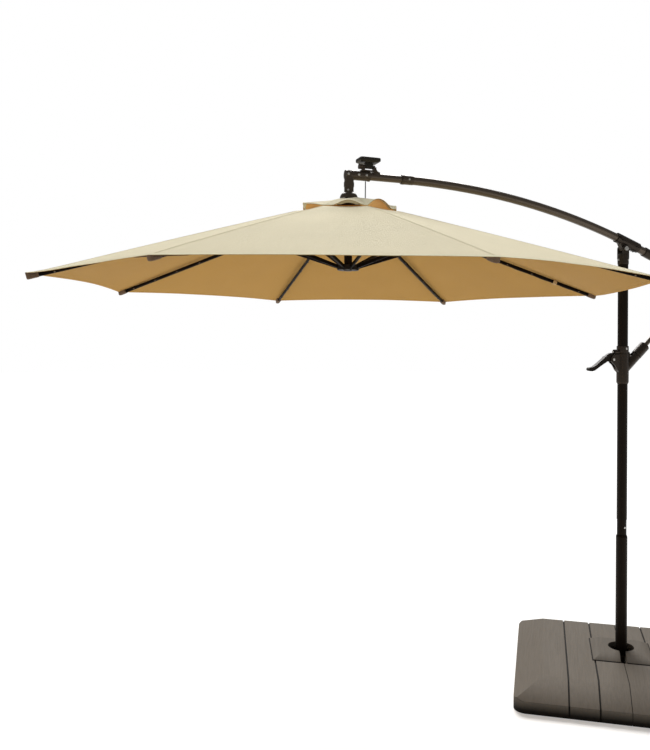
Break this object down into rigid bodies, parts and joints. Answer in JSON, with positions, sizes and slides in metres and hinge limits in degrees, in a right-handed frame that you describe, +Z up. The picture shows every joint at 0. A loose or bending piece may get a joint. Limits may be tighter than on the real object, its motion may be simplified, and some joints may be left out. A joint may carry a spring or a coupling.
{
  "type": "cantilever parasol",
  "caption": "Offset garden parasol: octagonal vented canopy hung from a curved arm on a mast with a tilt carriage, strut, solar lamp unit and square weighted base.",
  "frame": {"origin": "on the ground under the mast's axis, in the plane of the base's underside", "axes": "+Z up; -X from the mast to the canopy; the arm lies in the XZ plane"},
  "size_m": [3.7186, 2.8, 2.665],
  "materials": {
    "base_taupe": "moulded, faux wood grain",
    "mast_black": "satin powder coat",
    "bracket_black": "satin powder coat",
    "arm_brown": "satin powder coat",
    "rib_black": "satin powder coat",
    "bright_steel": "bright",
    "lever_plastic": "moulded",
    "case_plastic": "moulded",
    "cell_face": "glossy, dark green-black",
    "cable_rubber": "matte",
    "cream_cloth": "woven, cream",
    "steel_frame": "satin powder coat"
  },
  "bodies": {
    "base": {"base_tank_left": "base_taupe", "base_tank_right": "base_taupe", "centre_plate": "base_taupe", "filler_caps": "lever_plastic", "cross_base": "steel_frame", "mast_socket": "steel_frame", "mast_lower": "mast_black", "mast_upper": "mast_black", "mast_head": "bracket_black", "mast_fasteners": "bright_steel", "pivot_bolt": "bright_steel"},
    "arm": {"arm_clamp_top": "bracket_black", "arm_clamp_bottom": "bracket_black", "arm_tube": "arm_brown", "arm_tail": "bracket_black", "nose_collar": "bracket_black", "nose_tube": "arm_brown", "elbow": "bracket_black", "hub_bell": "lever_plastic", "centre_pole": "rib_black", "crown_hub": "lever_plastic", "hub_pins": "bright_steel", "arm_screws": "bright_steel", "solar_saddle": "bracket_black", "solar_cable": "cable_rubber"},
    "solar": {"solar_case": "case_plastic", "solar_glass": "cell_face"},
    "strut": {"strut_rod": "arm_brown", "strut_socket": "bracket_black"},
    "carriage_body": {"carriage": "bracket_black", "carriage_fasteners": "bright_steel", "latch_spring": "bright_steel"},
    "lever": {"tilt_lever": "lever_plastic"},
    "latch": {"latch_pin": "bright_steel"},
    "runner_body": {"runner": "lever_plastic", "runner_pins": "bright_steel"},
    "spoke_1": {"rib_1": "rib_black", "canopy_panel_1": "cream_cloth"},
    "stay_1": {"stretcher_1": "rib_black"},
    "spoke_2": {"rib_2": "rib_black", "canopy_panel_2": "cream_cloth"},
    "stay_2": {"stretcher_2": "rib_black"},
    "spoke_3": {"rib_3": "rib_black", "canopy_panel_3": "cream_cloth"},
    "stay_3": {"stretcher_3": "rib_black"},
    "spoke_4": {"rib_4": "rib_black", "canopy_panel_4": "cream_cloth"},
    "stay_4": {"stretcher_4": "rib_black"},
    "spoke_5": {"rib_5": "rib_black", "canopy_panel_5": "cream_cloth"},
    "stay_5": {"stretcher_5": "rib_black"},
    "spoke_6": {"rib_6": "rib_black", "canopy_panel_6": "cream_cloth"},
    "stay_6": {"stretcher_6": "rib_black"},
    "spoke_7": {"rib_7": "rib_black", "canopy_panel_7": "cream_cloth"},
    "stay_7": {"stretcher_7": "rib_black"},
    "spoke_8": {"rib_8": "rib_black", "canopy_panel_8": "cream_cloth"},
    "stay_8": {"stretcher_8": "rib_black"}
  },
  "joints": [
    {"name": "arm_tilt", "type": "hinge", "parent": "base", "child": "arm", "pos_m": [0, 0, 2.309], "axis": [0, 1, 0], "range_deg": [-20, 0]},
    {"name": "carriage_slide", "type": "slide", "parent": "base", "child": "carriage_body", "axis": [0, 0, 1], "range_m": [0, 0.22413]},
    {"name": "strut_pivot", "type": "hinge", "parent": "arm", "child": "strut", "pos_m": [0.515, 0, 2.12665], "axis": [0, 1, 0], "range_deg": [0, 24.67]},
    {"name": "lever_pull", "type": "hinge", "parent": "carriage_body", "child": "lever", "pos_m": [-0.069, 0, 1.709], "axis": [0, 1, 0], "range_deg": [-12, 0], "stiffness_Nm_per_rad": 6, "springref_deg": 14.32},
    {"name": "latch_slide", "type": "slide", "parent": "carriage_body", "child": "latch", "axis": [-1, 0, 0], "range_m": [0, 0.0088], "deforming": ["latch_spring"]},
    {"name": "solar_tilt", "type": "hinge", "parent": "arm", "child": "solar", "pos_m": [-1.478, 0, 2.625], "axis": [1, 0, 0], "range_deg": [-30, 30]},
    {"name": "runner_slide", "type": "slide", "parent": "arm", "child": "runner_body", "axis": [0, 0, -1], "range_m": [0, 0.6358]},
    {"name": "rib_1_fold", "type": "hinge", "parent": "arm", "child": "spoke_1", "pos_m": [-1.538, 0, 2.42844], "axis": [0, 1, 0], "range_deg": [0, 70.1], "deforming": ["canopy_panel_1"]},
    {"name": "stretcher_1_fold", "type": "hinge", "parent": "spoke_1", "child": "stay_1", "pos_m": [-1.09872, 0, 2.28422], "axis": [0, 1, 0], "range_deg": [-140.2, 0]},
    {"name": "rib_2_fold", "type": "hinge", "parent": "arm", "child": "spoke_2", "pos_m": [-1.54972, 0.02828, 2.42844], "axis": [-0.7071, 0.7071, 0], "range_deg": [0, 70.1], "deforming": ["canopy_panel_2"]},
    {"name": "stretcher_2_fold", "type": "hinge", "parent": "spoke_2", "child": "stay_2", "pos_m": [-1.2391, 0.3389, 2.28422], "axis": [-0.7071, 0.7071, 0], "range_deg": [-140.2, 0]},
    {"name": "rib_3_fold", "type": "hinge", "parent": "arm", "child": "spoke_3", "pos_m": [-1.578, 0.04, 2.42844], "axis": [-1, 0, 0], "range_deg": [0, 70.1], "deforming": ["canopy_panel_3"]},
    {"name": "stretcher_3_fold", "type": "hinge", "parent": "spoke_3", "child": "stay_3", "pos_m": [-1.578, 0.47928, 2.28422], "axis": [-1, 0, 0], "range_deg": [-140.2, 0]},
    {"name": "rib_4_fold", "type": "hinge", "parent": "arm", "child": "spoke_4", "pos_m": [-1.60628, 0.02828, 2.42844], "axis": [-0.7071, -0.7071, 0], "range_deg": [0, 70.1], "deforming": ["canopy_panel_4"]},
    {"name": "stretcher_4_fold", "type": "hinge", "parent": "spoke_4", "child": "stay_4", "pos_m": [-1.9169, 0.3389, 2.28422], "axis": [-0.7071, -0.7071, 0], "range_deg": [-140.2, 0]},
    {"name": "rib_5_fold", "type": "hinge", "parent": "arm", "child": "spoke_5", "pos_m": [-1.618, 0, 2.42844], "axis": [0, -1, 0], "range_deg": [0, 70.1], "deforming": ["canopy_panel_5"]},
    {"name": "stretcher_5_fold", "type": "hinge", "parent": "spoke_5", "child": "stay_5", "pos_m": [-2.05728, 0, 2.28422], "axis": [0, -1, 0], "range_deg": [-140.2, 0]},
    {"name": "rib_6_fold", "type": "hinge", "parent": "arm", "child": "spoke_6", "pos_m": [-1.60628, -0.02828, 2.42844], "axis": [0.7071, -0.7071, 0], "range_deg": [0, 70.1], "deforming": ["canopy_panel_6"]},
    {"name": "stretcher_6_fold", "type": "hinge", "parent": "spoke_6", "child": "stay_6", "pos_m": [-1.9169, -0.3389, 2.28422], "axis": [0.7071, -0.7071, 0], "range_deg": [-140.2, 0]},
    {"name": "rib_7_fold", "type": "hinge", "parent": "arm", "child": "spoke_7", "pos_m": [-1.578, -0.04, 2.42844], "axis": [1, 0, 0], "range_deg": [0, 70.1], "deforming": ["canopy_panel_7"]},
    {"name": "stretcher_7_fold", "type": "hinge", "parent": "spoke_7", "child": "stay_7", "pos_m": [-1.578, -0.47928, 2.28422], "axis": [1, 0, 0], "range_deg": [-140.2, 0]},
    {"name": "rib_8_fold", "type": "hinge", "parent": "arm", "child": "spoke_8", "pos_m": [-1.54972, -0.02828, 2.42844], "axis": [0.7071, 0.7071, 0], "range_deg": [0, 70.1], "deforming": ["canopy_panel_8"]},
    {"name": "stretcher_8_fold", "type": "hinge", "parent": "spoke_8", "child": "stay_8", "pos_m": [-1.2391, -0.3389, 2.28422], "axis": [0.7071, 0.7071, 0], "range_deg": [-140.2, 0]}
  ],
  "couplings": [
    {"joint": "carriage_slide", "follows": "arm_tilt", "m_per_rad": -0.6415},
    {"joint": "strut_pivot", "follows": "arm_tilt", "ratio": -1.2327},
    {"joint": "latch_slide", "follows": "lever_pull", "m_per_rad": -0.0415},
    {"joint": "rib_1_fold", "follows": "runner_slide", "rad_per_m": 1.9229},
    {"joint": "stretcher_1_fold", "follows": "runner_slide", "rad_per_m": -3.8459},
    {"joint": "rib_2_fold", "follows": "runner_slide", "rad_per_m": 1.9229},
    {"joint": "stretcher_2_fold", "follows": "runner_slide", "rad_per_m": -3.8459},
    {"joint": "rib_3_fold", "follows": "runner_slide", "rad_per_m": 1.9229},
    {"joint": "stretcher_3_fold", "follows": "runner_slide", "rad_per_m": -3.8459},
    {"joint": "rib_4_fold", "follows": "runner_slide", "rad_per_m": 1.9229},
    {"joint": "stretcher_4_fold", "follows": "runner_slide", "rad_per_m": -3.8459},
    {"joint": "rib_5_fold", "follows": "runner_slide", "rad_per_m": 1.9229},
    {"joint": "stretcher_5_fold", "follows": "runner_slide", "rad_per_m": -3.8459},
    {"joint": "rib_6_fold", "follows": "runner_slide", "rad_per_m": 1.9229},
    {"joint": "stretcher_6_fold", "follows": "runner_slide", "rad_per_m": -3.8459},
    {"joint": "rib_7_fold", "follows": "runner_slide", "rad_per_m": 1.9229},
    {"joint": "stretcher_7_fold", "follows": "runner_slide", "rad_per_m": -3.8459},
    {"joint": "rib_8_fold", "follows": "runner_slide", "rad_per_m": 1.9229},
    {"joint": "stretcher_8_fold", "follows": "runner_slide", "rad_per_m": -3.8459}
  ]
}
